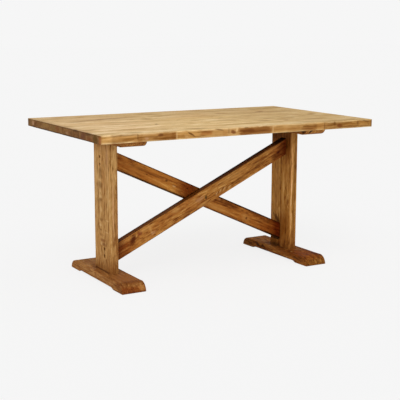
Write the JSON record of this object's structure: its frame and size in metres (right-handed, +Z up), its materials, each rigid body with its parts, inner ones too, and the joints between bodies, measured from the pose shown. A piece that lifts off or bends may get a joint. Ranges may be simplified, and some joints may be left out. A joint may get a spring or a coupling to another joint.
{
  "type": "dining table",
  "caption": "Rustic solid wood trestle dining table: thick plank top on two wide posts with long low feet, joined by crossed diagonal braces.",
  "frame": {"origin": "on the floor, below the middle of the top", "axes": "+X along the table, +Y from the front to the rear, +Z up"},
  "size_m": [1.5, 0.87, 0.76],
  "materials": {
    "top_wood": "oiled softwood, pale golden",
    "post_wood": "oiled softwood, golden brown",
    "foot_wood": "oiled softwood, brown",
    "bearer_wood": "oiled softwood, brown",
    "brace_wood": "oiled softwood, orange brown",
    "dowel_wood": "plain hardwood",
    "screw_steel": "dark phosphate coat",
    "bolt_steel": "zinc plated",
    "insert_metal": "zinc alloy"
  },
  "bodies": {
    "root": {"top_board_1": "top_wood", "top_board_2": "top_wood", "top_board_3": "top_wood", "top_board_4": "top_wood", "top_board_5": "top_wood", "top_board_6": "top_wood", "top_board_dowels": "dowel_wood", "left_foot": "foot_wood", "left_bearer": "bearer_wood", "left_post_front_board": "post_wood", "left_post_rear_board": "post_wood", "left_brace_screws": "screw_steel", "left_foot_screws": "screw_steel", "left_bearer_screws": "screw_steel", "left_top_bolts": "bolt_steel", "left_top_washers": "bolt_steel", "left_top_inserts": "insert_metal", "right_foot": "foot_wood", "right_bearer": "bearer_wood", "right_post_front_board": "post_wood", "right_post_rear_board": "post_wood", "right_brace_screws": "screw_steel", "right_foot_screws": "screw_steel", "right_bearer_screws": "screw_steel", "right_top_bolts": "bolt_steel", "right_top_washers": "bolt_steel", "right_top_inserts": "insert_metal", "post_board_dowels": "dowel_wood", "front_brace": "brace_wood", "rear_brace": "brace_wood", "crossing_screws": "screw_steel"}
  },
  "joints": []
}
